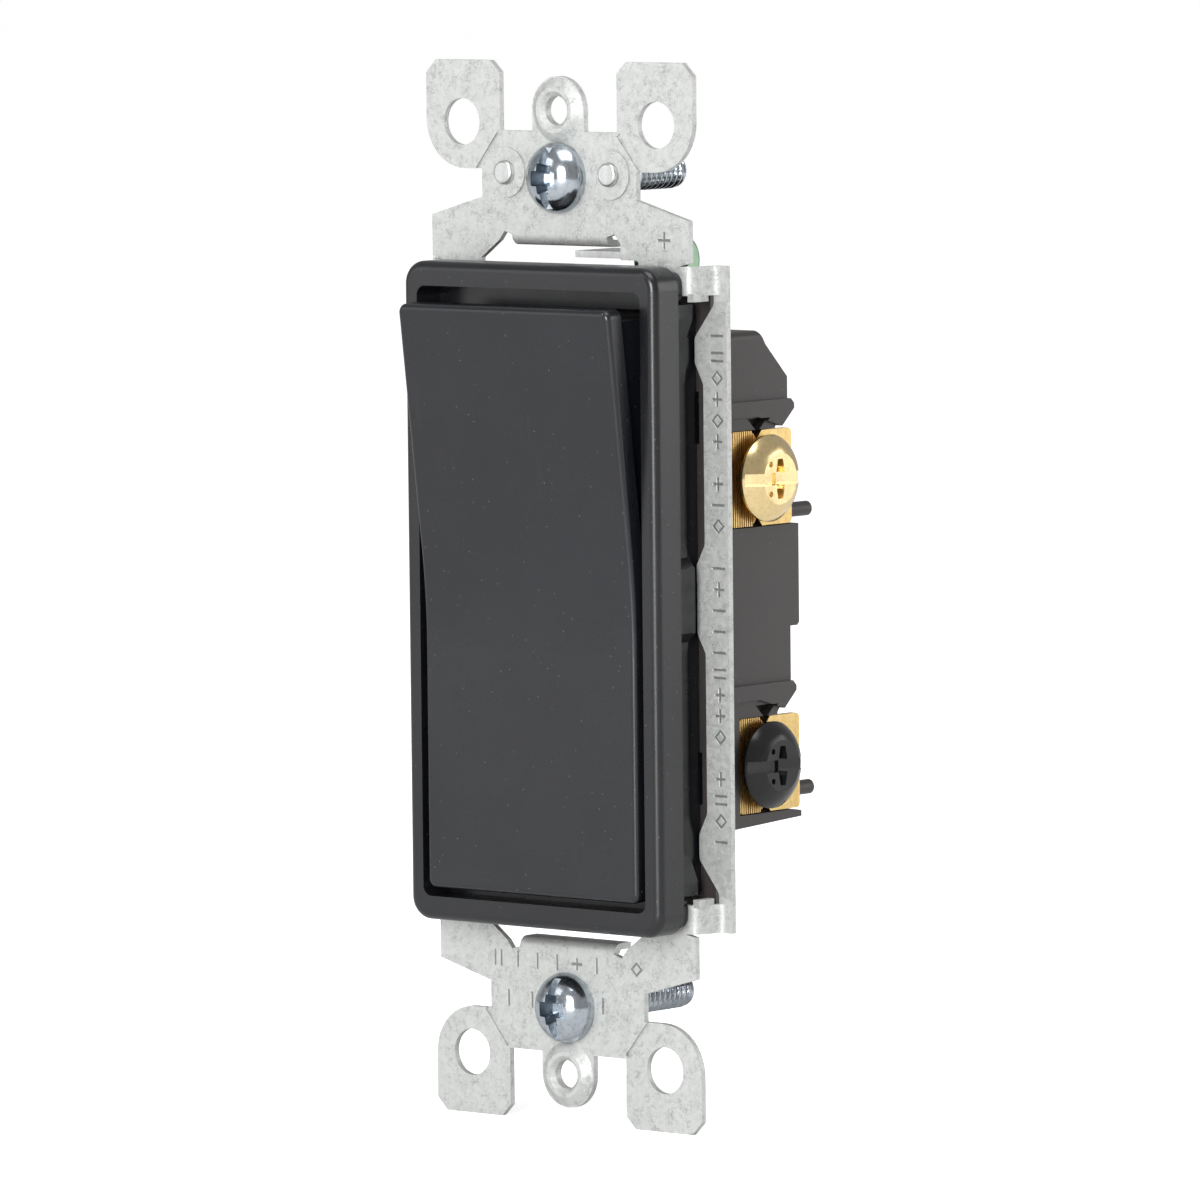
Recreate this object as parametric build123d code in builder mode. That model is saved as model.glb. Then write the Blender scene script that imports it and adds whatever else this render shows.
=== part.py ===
from build123d import *

import os
from math import cos, radians, sin, tan

# Rocker wall switch for a flush electrical box, in millimetres.
# X points right, Y points into the wall and Z points up. The origin lies on the wall plane,
# which is the rear face of the mounting ears, midway between the two box screws.

os.makedirs("parts", exist_ok=True)

# ---- standard sizes ---------------------------------------------------------------------
BOX_SCREW_PITCH = 83.34          # between the two screws that enter the electrical box
PLATE_SCREW_PITCH = 96.82        # between the two tapped holes for the wall plate's screws
WINDOW_WIDTH = 33.0              # the front that shows through a wall plate's opening
WINDOW_HEIGHT = 66.5

# ---- mounting strap ---------------------------------------------------------------------
SHEET = 0.65                     # steel thickness
STRAP_TOP = 53.3                 # half the strap's length
EAR_X = 17.4                     # outer edge of the ears
EAR_INNER_X = 7.65
EAR_LOW_Z = 42.4
EAR_HOLE_X = 12.7
EAR_HOLE_Z = 47.1
EAR_HOLE_R = 2.35
TAB_X = 3.4                      # half width of the tapped centre tab
PLATE_HOLE_R = 1.45
RAIL_Y = 2.15                    # front face of the side rails
RAIL_X = 19.2                    # outer edge of the side rails
RAIL_TOP = 33.2
PLATE_NECK_X = 10.1              # half width of an end plate between its ears and its wide part
PLATE_WIDE_X = 16.8
RAIL_LOW = 30.3                  # lower edge of the bend that joins an end plate to a rail
LIP_Z = 35.9                     # end edge of the strap's window
LIP_X = 6.2
LIP_BACK = 2.0
LIP_BEND = 0.4                   # inner radius of the lip's bend
BOX_SLOT_WIDTH = 6.2             # slot for a box screw, across the strap
BOX_SLOT_HEIGHT = 4.2
RIVET_X = 6.8
RIVET_Z = 42.1
RIVET_R = 1.2

# ---- front frame and rocker -------------------------------------------------------------
FRAME_FRONT = -5.7
FRAME_STEP = -2.0                # depth at which the frame narrows into its neck
OPENING_X = 14.6
OPENING_Z = 30.8
SKIRT_OPENING_X = 13.6
SKIRT_OPENING_Z = 28.9
NECK_X = 14.9                    # half width of the neck between its wide ends
NECK_WIDE_X = 15.9
NECK_BACK_X = 14.7               # half width where the neck passes between the rails
NECK_Z = 29.9
BEARING_X = 15.35                # closed end of the bearing holes, from the middle
SHOULDER_Z = 31.0                # middle of the shoulder behind each end of the ring
HOOK_X = 14.15
HOOK_Z = 18.0
HOOK_WIDTH = 5.0
HOOK_END = 6.2
FLANGE_Y = 2.85                  # front face of the rear body
PIVOT_Y = -1.6
PIVOT_R = 1.4
PIVOT_GAP = 0.05
TILT = 3.6                       # the rocker rests this many degrees either side of neutral
FACE_DEPTH = -4.4                # rocker face at its middle, measured from the pivot
ROCKER_X = 13.8
ROCKER_Z = 29.6
BEND_Z = 5.0                     # the face turns from one slope to the other between these
PLATE_T = 2.0
SKIRT_X = 13.2
SKIRT_Z = 28.2
SKIRT_DEPTH = 1.0
SKIRT_WALL = 1.6
PIVOT_END_X = 15.2
RIB_DEPTH = 0.2
STEM_X = 4.0
STEM_Z = 3.5
STEM_DEPTH = 10.6
BORE_R = 2.0

# ---- contact works ----------------------------------------------------------------------
ARM_PIVOT_Y = 13.6
ARM_TILT = 4.0
ARM_X = 3.5
ARM_Z = 8.8
ARM_T = 1.0
CONTACT_Z = 7.2
CONTACT_R = 1.5
STRIP_Y = 15.9                   # front face of the fixed brass strips
STRIP_T = 0.8

# ---- rear body and terminals ------------------------------------------------------------
BODY_X = 13.0
FLANGE_X = 16.6
FLANGE_Z = 32.3
FLANGE_BACK = 5.3
FLOOR_Y = 16.7
TERMINAL_X = 12.0                # inner face of the brass terminal plates
TERMINAL_T = 0.8
TERMINAL_SIZE = 9.6              # each plate is square
UPPER_Z = 11.2                   # centre height of the upper terminal
LOWER_Z = -17.7                  # centre height of the two lower terminals
UPPER_PLATE_Y = 15.2
LOWER_PLATE_Y = 16.1
SCREW_Y = 15.2
SCREW_R = 1.9
SCREW_END_X = 8.7
HEAD_R = 4.4
HEAD_TOP_R = 2.6
HEAD_X = 13.7
HEAD_T = 1.6
HEAD_SLOT = 1.15                 # depth of the head's wide slot
GRIP_RIBS = 10                   # fine ribs on a terminal plate
GRIP_PITCH = 0.34
BORE_END_X = 8.2
SCREW_BORE_R = 2.3
POCKET_BACK = 9.0
SPINE_X = 9.6                    # half width of the rear between the terminal recesses
HOOD_X = 13.4
WELL_X = 7.6                     # half width of the deep hollow
WIRE_HOLE_R = 1.2
LEG_X = 4.9                      # the lower strips run beside the contacts from here outwards
LEG_Z = -13.0
BODY_TOP_Z = 26.0
BODY_LOW_Z = -23.4
POCKET_X = 11.2                  # half size of the shallow hollow under the rocker
POCKET_Z = 22.75
WELL_Z = 12.5
PEG_X = 11.1
PEG_R = 0.75
PEG_END = 24.4

# ---- small hardware ---------------------------------------------------------------------
BOX_SCREW_R = 1.75
BOX_HEAD_R = 3.55
BOX_HEAD_T = 2.5
BOX_SCREW_END = 18.0
BOX_NECK_R = 1.45                # plain neck below the head, held by the retaining washer
BOX_THREAD_START = 2.0
RETAINER_FRONT = 1.0
RETAINER_BACK = 1.9
RETAINER_SIZE = 7.4
GROUND_Y = 3.4
GROUND_Z = 33.5
GROUND_R = 2.0
GROUND_HEAD_R = 2.7
GROUND_HEAD_X = 11.1             # underside of the ground screw's head
SPRING_R = 1.55
SPRING_WIRE = 0.22
SPRING_START = 2.6               # closed end of the stem's bore, measured from the pivot
PLUNGER_START = 8.6
PLUNGER_TIP = 14.15
PLUNGER_NOSE = 1.0
ARM_RIB_R = 0.65
FIXED_CONTACT_Y = 15.05
BRACKET_Y = 0.02
BRACKET_T = 0.8
TAB_FACE_X = 10.5
SHELF_X = 1.0
SHELF_Z = 33.7
CLEAR = 0.05


def room_plane(depth):
    """Plane at a depth, facing the room: sketch x is X and sketch y is Z."""
    return Plane.XZ.offset(-depth)


def side_plane(x):
    """Plane across the switch at a place x: sketch x is Y and sketch y is Z."""
    return Plane.YZ.offset(x)


def rocker_plane(depth):
    """Plane facing the room at a depth from the pivot, tilted with the resting rocker."""
    tilt = radians(TILT)
    forward = Vector(0, -cos(tilt), -sin(tilt))
    return Plane(Vector(0, PIVOT_Y, 0) - forward * depth, x_dir=(1, 0, 0), z_dir=forward)


def rocker_side_plane(x):
    """Plane across the resting rocker: sketch x is depth from the pivot, y is height."""
    tilt = radians(TILT)
    return Plane((x, PIVOT_Y, 0), x_dir=(0, cos(tilt), sin(tilt)), z_dir=(1, 0, 0))


def arm_side_plane(x):
    """Plane across the resting contact arm, turned the opposite way to the rocker."""
    tilt = radians(ARM_TILT)
    return Plane((x, ARM_PIVOT_Y, 0), x_dir=(0, cos(tilt), -sin(tilt)), z_dir=(1, 0, 0))


def arm_plane(depth):
    """Plane facing the room at a depth from the arm's pivot, tilted with the arm."""
    tilt = radians(ARM_TILT)
    forward = Vector(0, -cos(tilt), sin(tilt))
    return Plane(Vector(0, ARM_PIVOT_Y, 0) - forward * depth, x_dir=(1, 0, 0), z_dir=forward)


def block(near, far, width, height, radius=0.0, at=(0, 0), place=room_plane, mode=Mode.ADD):
    """Rectangular block from the plane at far, out to near, with rounded corners."""
    with BuildSketch(place(far)) as outline:
        with Locations(at):
            Rectangle(width, height)
        if radius:
            fillet(outline.vertices(), radius)
    extrude(outline.sketch, amount=abs(far - near), mode=mode)


def disc(near, far, radius, at=(0, 0), place=room_plane, mode=Mode.ADD):
    """Round bar or hole from the plane at far, out to near."""
    with BuildSketch(place(far)) as outline:
        with Locations(at):
            Circle(radius)
    extrude(outline.sketch, amount=abs(far - near), mode=mode)


def save(builder, name):
    """Labels a finished piece and writes it to its own file."""
    builder.part.label = name
    export_step(builder.part, f"parts/{name}.step")


# ---- mounting strap: two end plates with ears, joined by two set-back side rails --------
def end_plate_edge(side):
    """Outline of one half of the upper end plate, from the centre tab round to the window."""
    middle = PLATE_SCREW_PITCH / 2
    slant = TAB_X * cos(radians(45))
    ThreePointArc((0, middle + TAB_X), (side * slant, middle + slant), (side * TAB_X, middle))
    Polyline(
        (side * TAB_X, middle),
        (side * TAB_X, 46.3),
        (side * EAR_INNER_X, 46.3),
        (side * EAR_INNER_X, STRAP_TOP - 1.2),
        (side * (EAR_INNER_X + 1.2), STRAP_TOP),
        (side * (EAR_X - 1.3), STRAP_TOP),
        (side * EAR_X, STRAP_TOP - 1.3),
        (side * EAR_X, EAR_LOW_Z + 5.0),
    )
    ThreePointArc(
        (side * EAR_X, EAR_LOW_Z + 5.0),
        (side * (EAR_X - 1.46), EAR_LOW_Z + 1.46),
        (side * (EAR_X - 5.0), EAR_LOW_Z),
    )
    Polyline(
        (side * (EAR_X - 5.0), EAR_LOW_Z),
        (side * PLATE_NECK_X, EAR_LOW_Z),
        (side * PLATE_NECK_X, 39.6),
        (side * PLATE_WIDE_X, 37.7),
        (side * PLATE_WIDE_X, 33.5),
        (side * 15.5, 33.2),
        (side * 15.5, RAIL_LOW),
        (side * 10.3, RAIL_LOW),
        (side * 10.3, 33.5),
        (side * 7.9, LIP_Z - 0.6),
        (side * 7.2, LIP_Z + 0.3),
        (side * 6.3, LIP_Z),
        (0, LIP_Z),
    )


def rail_edge(end):
    """Inner edge of the right side rail, from its middle to one end."""
    return [
        (15.1, end * 3.4),
        (16.15, end * 5.4),
        (16.15, end * 21.4),
        (15.1, end * 23.5),
        (15.1, end * 26.0),
        (17.6, end * 29.3),
        (17.6, end * RAIL_TOP),
    ]


with BuildPart() as mounting_strap:
    with BuildSketch(room_plane(0)):
        with BuildLine():
            end_plate_edge(1)
            end_plate_edge(-1)
        make_face()
    extrude(amount=SHEET)
    # The bend between the end plate and the rails, drawn from above.
    for side in (1, -1):
        with BuildSketch(Plane.XY.offset(RAIL_LOW)):
            with BuildLine():
                Line((side * 15.4, -SHEET), (side * 15.9, -SHEET))
                Spline(
                    (side * 15.9, -SHEET),
                    (side * 17.35, 0.7),
                    (side * 18.6, RAIL_Y),
                    tangents=((side, 0), (side, 0)),
                )
                Polyline(
                    (side * 18.6, RAIL_Y),
                    (side * RAIL_X, RAIL_Y),
                    (side * RAIL_X, RAIL_Y + SHEET),
                    (side * 18.2, RAIL_Y + SHEET),
                )
                Spline(
                    (side * 18.2, RAIL_Y + SHEET),
                    (side * 16.9, 1.15),
                    (side * 15.5, 0),
                    tangents=((-side, 0), (-side, 0)),
                )
                Polyline((side * 15.5, 0), (side * 15.4, 0), (side * 15.4, -SHEET))
            make_face()
        extrude(amount=RAIL_TOP - RAIL_LOW)
    # Small tabs turned forward at the ends of the rails.
    for x in (17.0, -17.0):
        block(-0.7, 1.6, 0.8, 0.8, at=(x, RAIL_LOW - 0.2))
    # Lip rolled back along the window's end edge.
    with BuildSketch(Plane.YZ):
        with BuildLine():
            Line((-SHEET, LIP_Z), (-SHEET, LIP_Z + 0.1))
            Line((-SHEET, LIP_Z + 0.1), (0, LIP_Z + 0.1))
            Line((0, LIP_Z + 0.1), (0, LIP_Z))
            RadiusArc((0, LIP_Z), (LIP_BEND, LIP_Z - LIP_BEND), LIP_BEND)
            Polyline(
                (LIP_BEND, LIP_Z - LIP_BEND),
                (LIP_BACK, LIP_Z - LIP_BEND),
                (LIP_BACK, LIP_Z - LIP_BEND - SHEET),
                (LIP_BEND, LIP_Z - LIP_BEND - SHEET),
            )
            RadiusArc((LIP_BEND, LIP_Z - LIP_BEND - SHEET), (-SHEET, LIP_Z), LIP_BEND + SHEET)
        make_face()
    extrude(amount=LIP_X, both=True)
    # Raised collar, countersunk, round the tapped hole; the upper plate is then mirrored down.
    with Locations((0, -SHEET, PLATE_SCREW_PITCH / 2)):
        Cone(3.25, 2.3, 0.7, rotation=(90, 0, 0), align=(Align.CENTER, Align.CENTER, Align.MIN))
    with Locations((0, -SHEET - 0.25, PLATE_SCREW_PITCH / 2)):
        Cone(PLATE_HOLE_R, 1.95, 0.5, rotation=(90, 0, 0),
             align=(Align.CENTER, Align.CENTER, Align.MIN), mode=Mode.SUBTRACT)
    mirror(about=Plane.XY)
    for end in (1, -1):
        for side in (1, -1):
            edge = [(side * x, z) for x, z in rail_edge(end)]
            with BuildSketch(room_plane(RAIL_Y + SHEET)) as half_rail:
                with BuildLine():
                    Polyline((side * RAIL_X, 0), (side * 15.1, 0), *edge)
                    Polyline(edge[-1], (side * RAIL_X, end * RAIL_TOP), (side * RAIL_X, 0))
                make_face()
                corners = half_rail.vertices().filter_by(
                    lambda corner: abs(corner.X) < RAIL_X - 0.1 and 1 < abs(corner.Y) < 32
                )
                fillet(corners, 0.9)
            extrude(amount=SHEET)
    # Raised ring round each rivet of the ground bracket.
    for x in (RIVET_X, -RIVET_X):
        disc(-SHEET - 0.25, -SHEET, 2.5, at=(x, RIVET_Z))
        disc(-SHEET - 0.5, 0.5, RIVET_R + 0.02, at=(x, RIVET_Z), mode=Mode.SUBTRACT)
    # Holes: tapped wall-plate holes, box-screw slots and ear holes.
    with BuildSketch(room_plane(0.5)):
        with Locations((0, PLATE_SCREW_PITCH / 2), (0, -PLATE_SCREW_PITCH / 2)):
            Circle(PLATE_HOLE_R)
        with Locations((0, BOX_SCREW_PITCH / 2), (0, -BOX_SCREW_PITCH / 2)):
            SlotOverall(BOX_SLOT_WIDTH, BOX_SLOT_HEIGHT)
        with GridLocations(2 * EAR_HOLE_X, 2 * EAR_HOLE_Z, 2, 2):
            Circle(EAR_HOLE_R)
    extrude(amount=2.5, mode=Mode.SUBTRACT)
    # Scored lines along which the ears can be snapped off.
    with BuildSketch(room_plane(-SHEET + 0.2)):
        for side in (1, -1):
            for end in (1, -1):
                with BuildLine():
                    Polyline(
                        (side * 7.6, end * 45.9),
                        (side * 8.0, end * 46.2),
                        (side * 10.9, end * 42.5),
                        (side * 10.5, end * 42.3),
                        close=True,
                    )
                make_face()
    extrude(amount=0.4, mode=Mode.SUBTRACT)
save(mounting_strap, "mounting_strap")


# ---- ground bracket behind the upper end plate ------------------------------------------
with BuildPart() as ground_bracket:
    with BuildSketch(room_plane(BRACKET_Y + BRACKET_T)):
        with Locations((0, 41.95)):
            Rectangle(18.4, 6.9)
        with Locations(((TAB_FACE_X + 7.4) / 2, 36.1)):
            Rectangle(TAB_FACE_X - 7.4, 5.0)
        with Locations((RIVET_X, RIVET_Z), (-RIVET_X, RIVET_Z)):
            Circle(RIVET_R + 0.02, mode=Mode.SUBTRACT)
        with Locations((0, BOX_SCREW_PITCH / 2)):
            Circle(2.4, mode=Mode.SUBTRACT)
    extrude(amount=BRACKET_T)
    # Upright tab, bent back, that the ground screw threads into.
    with BuildSketch(side_plane(TAB_FACE_X)) as upright:
        with BuildLine():
            Polyline(
                (BRACKET_Y, 37.2),
                (BRACKET_Y, 30.9),
                (6.6, 30.9),
                (6.6, 35.6),
                (5.0, 37.2),
                close=True,
            )
        make_face()
        with Locations((GROUND_Y, GROUND_Z)):
            Circle(GROUND_R + CLEAR, mode=Mode.SUBTRACT)
    extrude(amount=-BRACKET_T)
    # Shelf under the window's lip, with a gap for the end of the ground screw.
    with BuildSketch(Plane.XY.offset(SHELF_Z)):
        with Locations(((SHELF_X + TAB_FACE_X) / 2 - 0.2, 3.6)):
            Rectangle(TAB_FACE_X - SHELF_X - 0.4, 6.0)
        with Locations((8.95, GROUND_Y)):
            Rectangle(2.5, 4.4, mode=Mode.SUBTRACT)
    extrude(amount=0.7)
save(ground_bracket, "ground_bracket")

with BuildPart() as ground_bracket_rivets:
    for x in (RIVET_X, -RIVET_X):
        disc(-1.5, 1.5, RIVET_R, at=(x, RIVET_Z))
    fillet(ground_bracket_rivets.edges().filter_by(GeomType.CIRCLE).group_by(Axis.Y)[0], 0.35)
    for x in (RIVET_X, -RIVET_X):
        disc(BRACKET_Y + BRACKET_T, 1.6, 2.1, at=(x, RIVET_Z))
save(ground_bracket_rivets, "ground_bracket_rivets")

with BuildPart() as ground_screw:
    disc(GROUND_HEAD_X + 1.8, GROUND_HEAD_X, GROUND_HEAD_R, (GROUND_Y, GROUND_Z), side_plane)
    fillet(ground_screw.edges().filter_by(GeomType.CIRCLE).group_by(Axis.X)[-1], 0.6)
    disc(GROUND_HEAD_X + 0.1, 8.0, GROUND_R, (GROUND_Y, GROUND_Z), side_plane)
    block(GROUND_HEAD_X + 1.9, GROUND_HEAD_X + 0.9, 1.0, 6.0, at=(GROUND_Y, GROUND_Z),
          place=side_plane, mode=Mode.SUBTRACT)
save(ground_screw, "ground_screw")


# ---- box screws, each with a slotted cross recess, and the washers that keep them -------
def box_screw(end):
    """Machine screw that fastens the strap to the electrical box."""
    height = end * BOX_SCREW_PITCH / 2
    seat = -SHEET - CLEAR
    top = seat - BOX_HEAD_T
    with BuildPart() as screw:
        with BuildSketch(Plane.XY.offset(height)):
            with BuildLine():
                Polyline(
                    (0, top),
                    (0, BOX_SCREW_END),
                    (BOX_SCREW_R - 0.5, BOX_SCREW_END),
                    (BOX_SCREW_R, BOX_SCREW_END - 0.6),
                    (BOX_SCREW_R, BOX_THREAD_START),
                    (BOX_NECK_R, BOX_THREAD_START),
                    (BOX_NECK_R, seat),
                    (BOX_HEAD_R, seat),
                    (BOX_HEAD_R, seat - 0.5),
                )
                ThreePointArc((BOX_HEAD_R, seat - 0.5), (2.6, seat - 1.9), (0, top))
            make_face()
        revolve(axis=Axis((0, 0, height), (0, 1, 0)))
        block(top - 0.1, top + 1.1, 0.9, 7.0, at=(0, height), mode=Mode.SUBTRACT)
        with BuildSketch(room_plane(top + 1.7)):
            with Locations((0, height)):
                Rectangle(0.8, 2.4)
                Rectangle(2.4, 0.8)
        extrude(amount=1.8, taper=-12, mode=Mode.SUBTRACT)
    return screw


mounting_screw_top = box_screw(1)
mounting_screw_bottom = box_screw(-1)
save(mounting_screw_top, "mounting_screw_top")
save(mounting_screw_bottom, "mounting_screw_bottom")

with BuildPart() as screw_retainers:
    for height in (BOX_SCREW_PITCH / 2, -BOX_SCREW_PITCH / 2):
        block(RETAINER_FRONT, RETAINER_BACK, RETAINER_SIZE, RETAINER_SIZE, 0.8, (0, height))
        disc(RETAINER_FRONT - 0.1, RETAINER_BACK + 0.1, BOX_NECK_R + CLEAR, (0, height),
             mode=Mode.SUBTRACT)
save(screw_retainers, "screw_retainers")


# ---- front frame: the bezel ring, its stepped neck and the hooks that hold the body -----
def neck_edge(end):
    """Right edge of the frame's neck from its middle to one end: boss, waist, wide end."""
    return [
        (NECK_WIDE_X, end * 3.2),
        (NECK_X, end * 4.2),
        (NECK_X, end * 25.6),
        (NECK_WIDE_X, end * 28.0),
        (NECK_WIDE_X, end * (NECK_Z - 0.5)),
    ]


with BuildPart() as front_frame:
    block(FRAME_FRONT, FRAME_STEP, WINDOW_WIDTH, WINDOW_HEIGHT, radius=2.3)
    fillet(front_frame.faces().sort_by(Axis.Y)[0].edges(), 0.9)
    for z in (SHOULDER_Z, -SHOULDER_Z):
        block(FRAME_STEP, -SHEET - CLEAR, WINDOW_WIDTH - 1.2, 3.3, radius=1.2, at=(0, z))
    with BuildSketch(room_plane(0.9)) as neck:
        with BuildLine():
            right = neck_edge(-1)[::-1] + neck_edge(1)
            Polyline(*right, *[(-x, z) for x, z in reversed(right)], close=True)
        make_face()
    extrude(neck.sketch, amount=0.9 - FRAME_STEP)
    block(0.8, FLANGE_Y - 0.02, 2 * NECK_BACK_X, 2 * NECK_Z, radius=1.0)
    block(FRAME_FRONT - 1, FRAME_STEP - 0.1, 2 * OPENING_X, 2 * OPENING_Z, 1.0, mode=Mode.SUBTRACT)
    block(FRAME_STEP - 0.2, 4, 2 * SKIRT_OPENING_X, 2 * SKIRT_OPENING_Z, 0.6, mode=Mode.SUBTRACT)
    # Bearing holes for the rocker's pivots, blind at both sides.
    disc(BEARING_X, -BEARING_X, PIVOT_R + PIVOT_GAP, (PIVOT_Y, 0), side_plane, Mode.SUBTRACT)
    # Four hooks that pass through the body's flange and catch behind it.
    for side in (1, -1):
        for z in (HOOK_Z, -HOOK_Z):
            block(2.5, HOOK_END, 1.1, HOOK_WIDTH, at=(side * HOOK_X, z))
            block(FLANGE_BACK + CLEAR, HOOK_END, 1.9, HOOK_WIDTH, at=(side * (HOOK_X + 0.4), z))
save(front_frame, "front_frame")


# ---- rocker: a hollow paddle with two pivots and a stem for the detent ------------------
slope = tan(radians(TILT))
middle_depth = FACE_DEPTH - BEND_Z * slope / 2
bend_depth = FACE_DEPTH - BEND_Z * slope
end_depth = FACE_DEPTH - ROCKER_Z * slope
hollow_width = 2 * (SKIRT_X - SKIRT_WALL)
hollow_height = 2 * (SKIRT_Z - SKIRT_WALL)
under_face = FACE_DEPTH + PLATE_T

with BuildPart() as rocker:
    with BuildSketch(rocker_side_plane(0)):
        with BuildLine():
            Line((end_depth, ROCKER_Z), (bend_depth, BEND_Z))
            ThreePointArc((bend_depth, BEND_Z), (middle_depth, 0), (bend_depth, -BEND_Z))
            Polyline(
                (bend_depth, -BEND_Z),
                (end_depth, -ROCKER_Z),
                (end_depth + PLATE_T, -ROCKER_Z),
                (under_face, 0),
                (end_depth + PLATE_T, ROCKER_Z),
                (end_depth, ROCKER_Z),
            )
        make_face()
    extrude(amount=ROCKER_X, both=True)
    ends = rocker.edges().filter_by(lambda edge: edge.length < PLATE_T + 0.2)
    fillet(ends.filter_by(lambda edge: abs(edge.center().X) > ROCKER_X - 0.01), 0.9)
    front = rocker.faces().filter_by(lambda face: face.normal_at().Y < -0.9)
    rim = [edge for edge in front.edges() if abs(edge.center().X) > 1 or abs(edge.center().Z) > 9]
    fillet(rim, 0.55)
    # Skirt, inset all round behind the paddle.
    with BuildSketch(rocker_side_plane(0)):
        with BuildLine():
            Polyline(
                (SKIRT_DEPTH, SKIRT_Z),
                (end_depth + PLATE_T - 0.3, SKIRT_Z),
                (under_face - 0.3, 0),
                (end_depth + PLATE_T - 0.3, -SKIRT_Z),
                (SKIRT_DEPTH, -SKIRT_Z),
                close=True,
            )
        make_face()
    extrude(amount=SKIRT_X, both=True)
    block(under_face, SKIRT_DEPTH + 1, hollow_width, hollow_height, 0.8,
          place=rocker_plane, mode=Mode.SUBTRACT)
    # Stiffening ribs, pivot bosses, pivots and the detent stem.
    for z in (-18, -9, 9, 18):
        block(under_face - 0.5, RIB_DEPTH, hollow_width + 0.4, 1.0, at=(0, z), place=rocker_plane)
    disc(SKIRT_X, SKIRT_X - SKIRT_WALL, 2.3, place=rocker_side_plane)
    disc(SKIRT_WALL - SKIRT_X, -SKIRT_X, 2.3, place=rocker_side_plane)
    disc(PIVOT_END_X, SKIRT_X - 0.2, PIVOT_R, place=rocker_side_plane)
    disc(0.2 - SKIRT_X, -PIVOT_END_X, PIVOT_R, place=rocker_side_plane)
    block(under_face - 0.5, STEM_DEPTH, 2 * STEM_X, 2 * STEM_Z, 0.8, place=rocker_plane)
    block(under_face - 0.5, SKIRT_WALL, hollow_width + 0.4, 1.6, place=rocker_plane)
    disc(SPRING_START, STEM_DEPTH + 1, BORE_R, place=rocker_plane, mode=Mode.SUBTRACT)
save(rocker, "rocker")

with BuildPart() as detent_plunger:
    with BuildSketch(rocker_side_plane(0)):
        with BuildLine():
            Polyline(
                (PLUNGER_START, 0),
                (PLUNGER_START, BORE_R - CLEAR),
                (STEM_DEPTH + 0.8, BORE_R - CLEAR),
                (PLUNGER_TIP - PLUNGER_NOSE, PLUNGER_NOSE),
            )
            RadiusArc((PLUNGER_TIP - PLUNGER_NOSE, PLUNGER_NOSE), (PLUNGER_TIP, 0), PLUNGER_NOSE)
            Line((PLUNGER_TIP, 0), (PLUNGER_START, 0))
        make_face()
    revolve(axis=Axis(rocker_plane(0).origin, -rocker_plane(0).z_dir))
save(detent_plunger, "detent_plunger")

with BuildPart() as detent_spring:
    spring_base = rocker_plane(PLUNGER_START - CLEAR - SPRING_WIRE)
    spring_length = PLUNGER_START - SPRING_START - 2 * (CLEAR + SPRING_WIRE)
    with BuildLine():
        coil = Helix(
            pitch=spring_length / 6,
            height=spring_length,
            radius=SPRING_R,
            center=spring_base.origin,
            direction=spring_base.z_dir,
        )
    with BuildSketch(Plane(origin=coil @ 0, z_dir=coil % 0)):
        Circle(SPRING_WIRE)
    sweep(path=coil, is_frenet=True)
save(detent_spring, "detent_spring")


# ---- contact arm, which rocks on the common terminal ------------------------------------
with BuildPart() as contact_arm:
    block(-ARM_T, 0, 2 * ARM_X, 2 * ARM_Z, 0.8, place=arm_plane)
    disc(ARM_X - 0.4, 0.4 - ARM_X, ARM_RIB_R, place=arm_side_plane)
save(contact_arm, "contact_arm")

with BuildPart() as arm_contacts:
    for z in (CONTACT_Z, -CONTACT_Z):
        disc(0, 0.8, CONTACT_R, at=(0, z), place=arm_plane)
save(arm_contacts, "arm_contacts")

with BuildPart() as fixed_contacts:
    for z in (CONTACT_Z, -CONTACT_Z):
        disc(FIXED_CONTACT_Y, STRIP_Y, CONTACT_R, at=(0, z))
save(fixed_contacts, "fixed_contacts")


# ---- brass terminals ---------------------------------------------------------------------
def terminal_plate(plate_y, height):
    """Ribbed and notched plate under a terminal screw, on the right side of the body."""
    half = TERMINAL_SIZE / 2
    outer = TERMINAL_X + TERMINAL_T
    block(outer, TERMINAL_X, TERMINAL_SIZE, TERMINAL_SIZE, 0.5, (plate_y, height), side_plane)
    disc(outer + 1, TERMINAL_X - 1, SCREW_R + CLEAR, (SCREW_Y, height), side_plane, Mode.SUBTRACT)
    notch_y = plate_y - 0.7
    with BuildSketch(side_plane(TERMINAL_X)) as notches:
        for end in (1, -1):
            with BuildLine():
                Polyline(
                    (notch_y - 0.9, height + end * (half + 0.1)),
                    (notch_y + 0.9, height + end * (half + 0.1)),
                    (notch_y, height + end * (half - 0.9)),
                    close=True,
                )
            make_face()
    extrude(notches.sketch, amount=TERMINAL_T, mode=Mode.SUBTRACT)
    # Fine upright ribs on the half nearest the wall, which bite into the wire.
    for step in range(GRIP_RIBS):
        rib_y = plate_y - half + 0.35 + GRIP_PITCH * step
        block(outer + 0.1, outer - 0.2, GRIP_PITCH / 2, 2 * half + 0.2, at=(rib_y, height),
              place=side_plane, mode=Mode.SUBTRACT)


def strip(x0, x1, z0, z1):
    """Flat length of the brass strip that lies on the body's inner floor."""
    block(STRIP_Y, STRIP_Y + STRIP_T, abs(x1 - x0), abs(z1 - z0), at=((x0 + x1) / 2, (z0 + z1) / 2))


with BuildPart() as traveler_terminal_right:
    terminal_plate(UPPER_PLATE_Y, UPPER_Z)
    strip(-CONTACT_R - 0.1, TERMINAL_X + 0.2, CONTACT_Z - 1.6, CONTACT_Z + 1.6)
save(traveler_terminal_right, "traveler_terminal_right")

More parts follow.
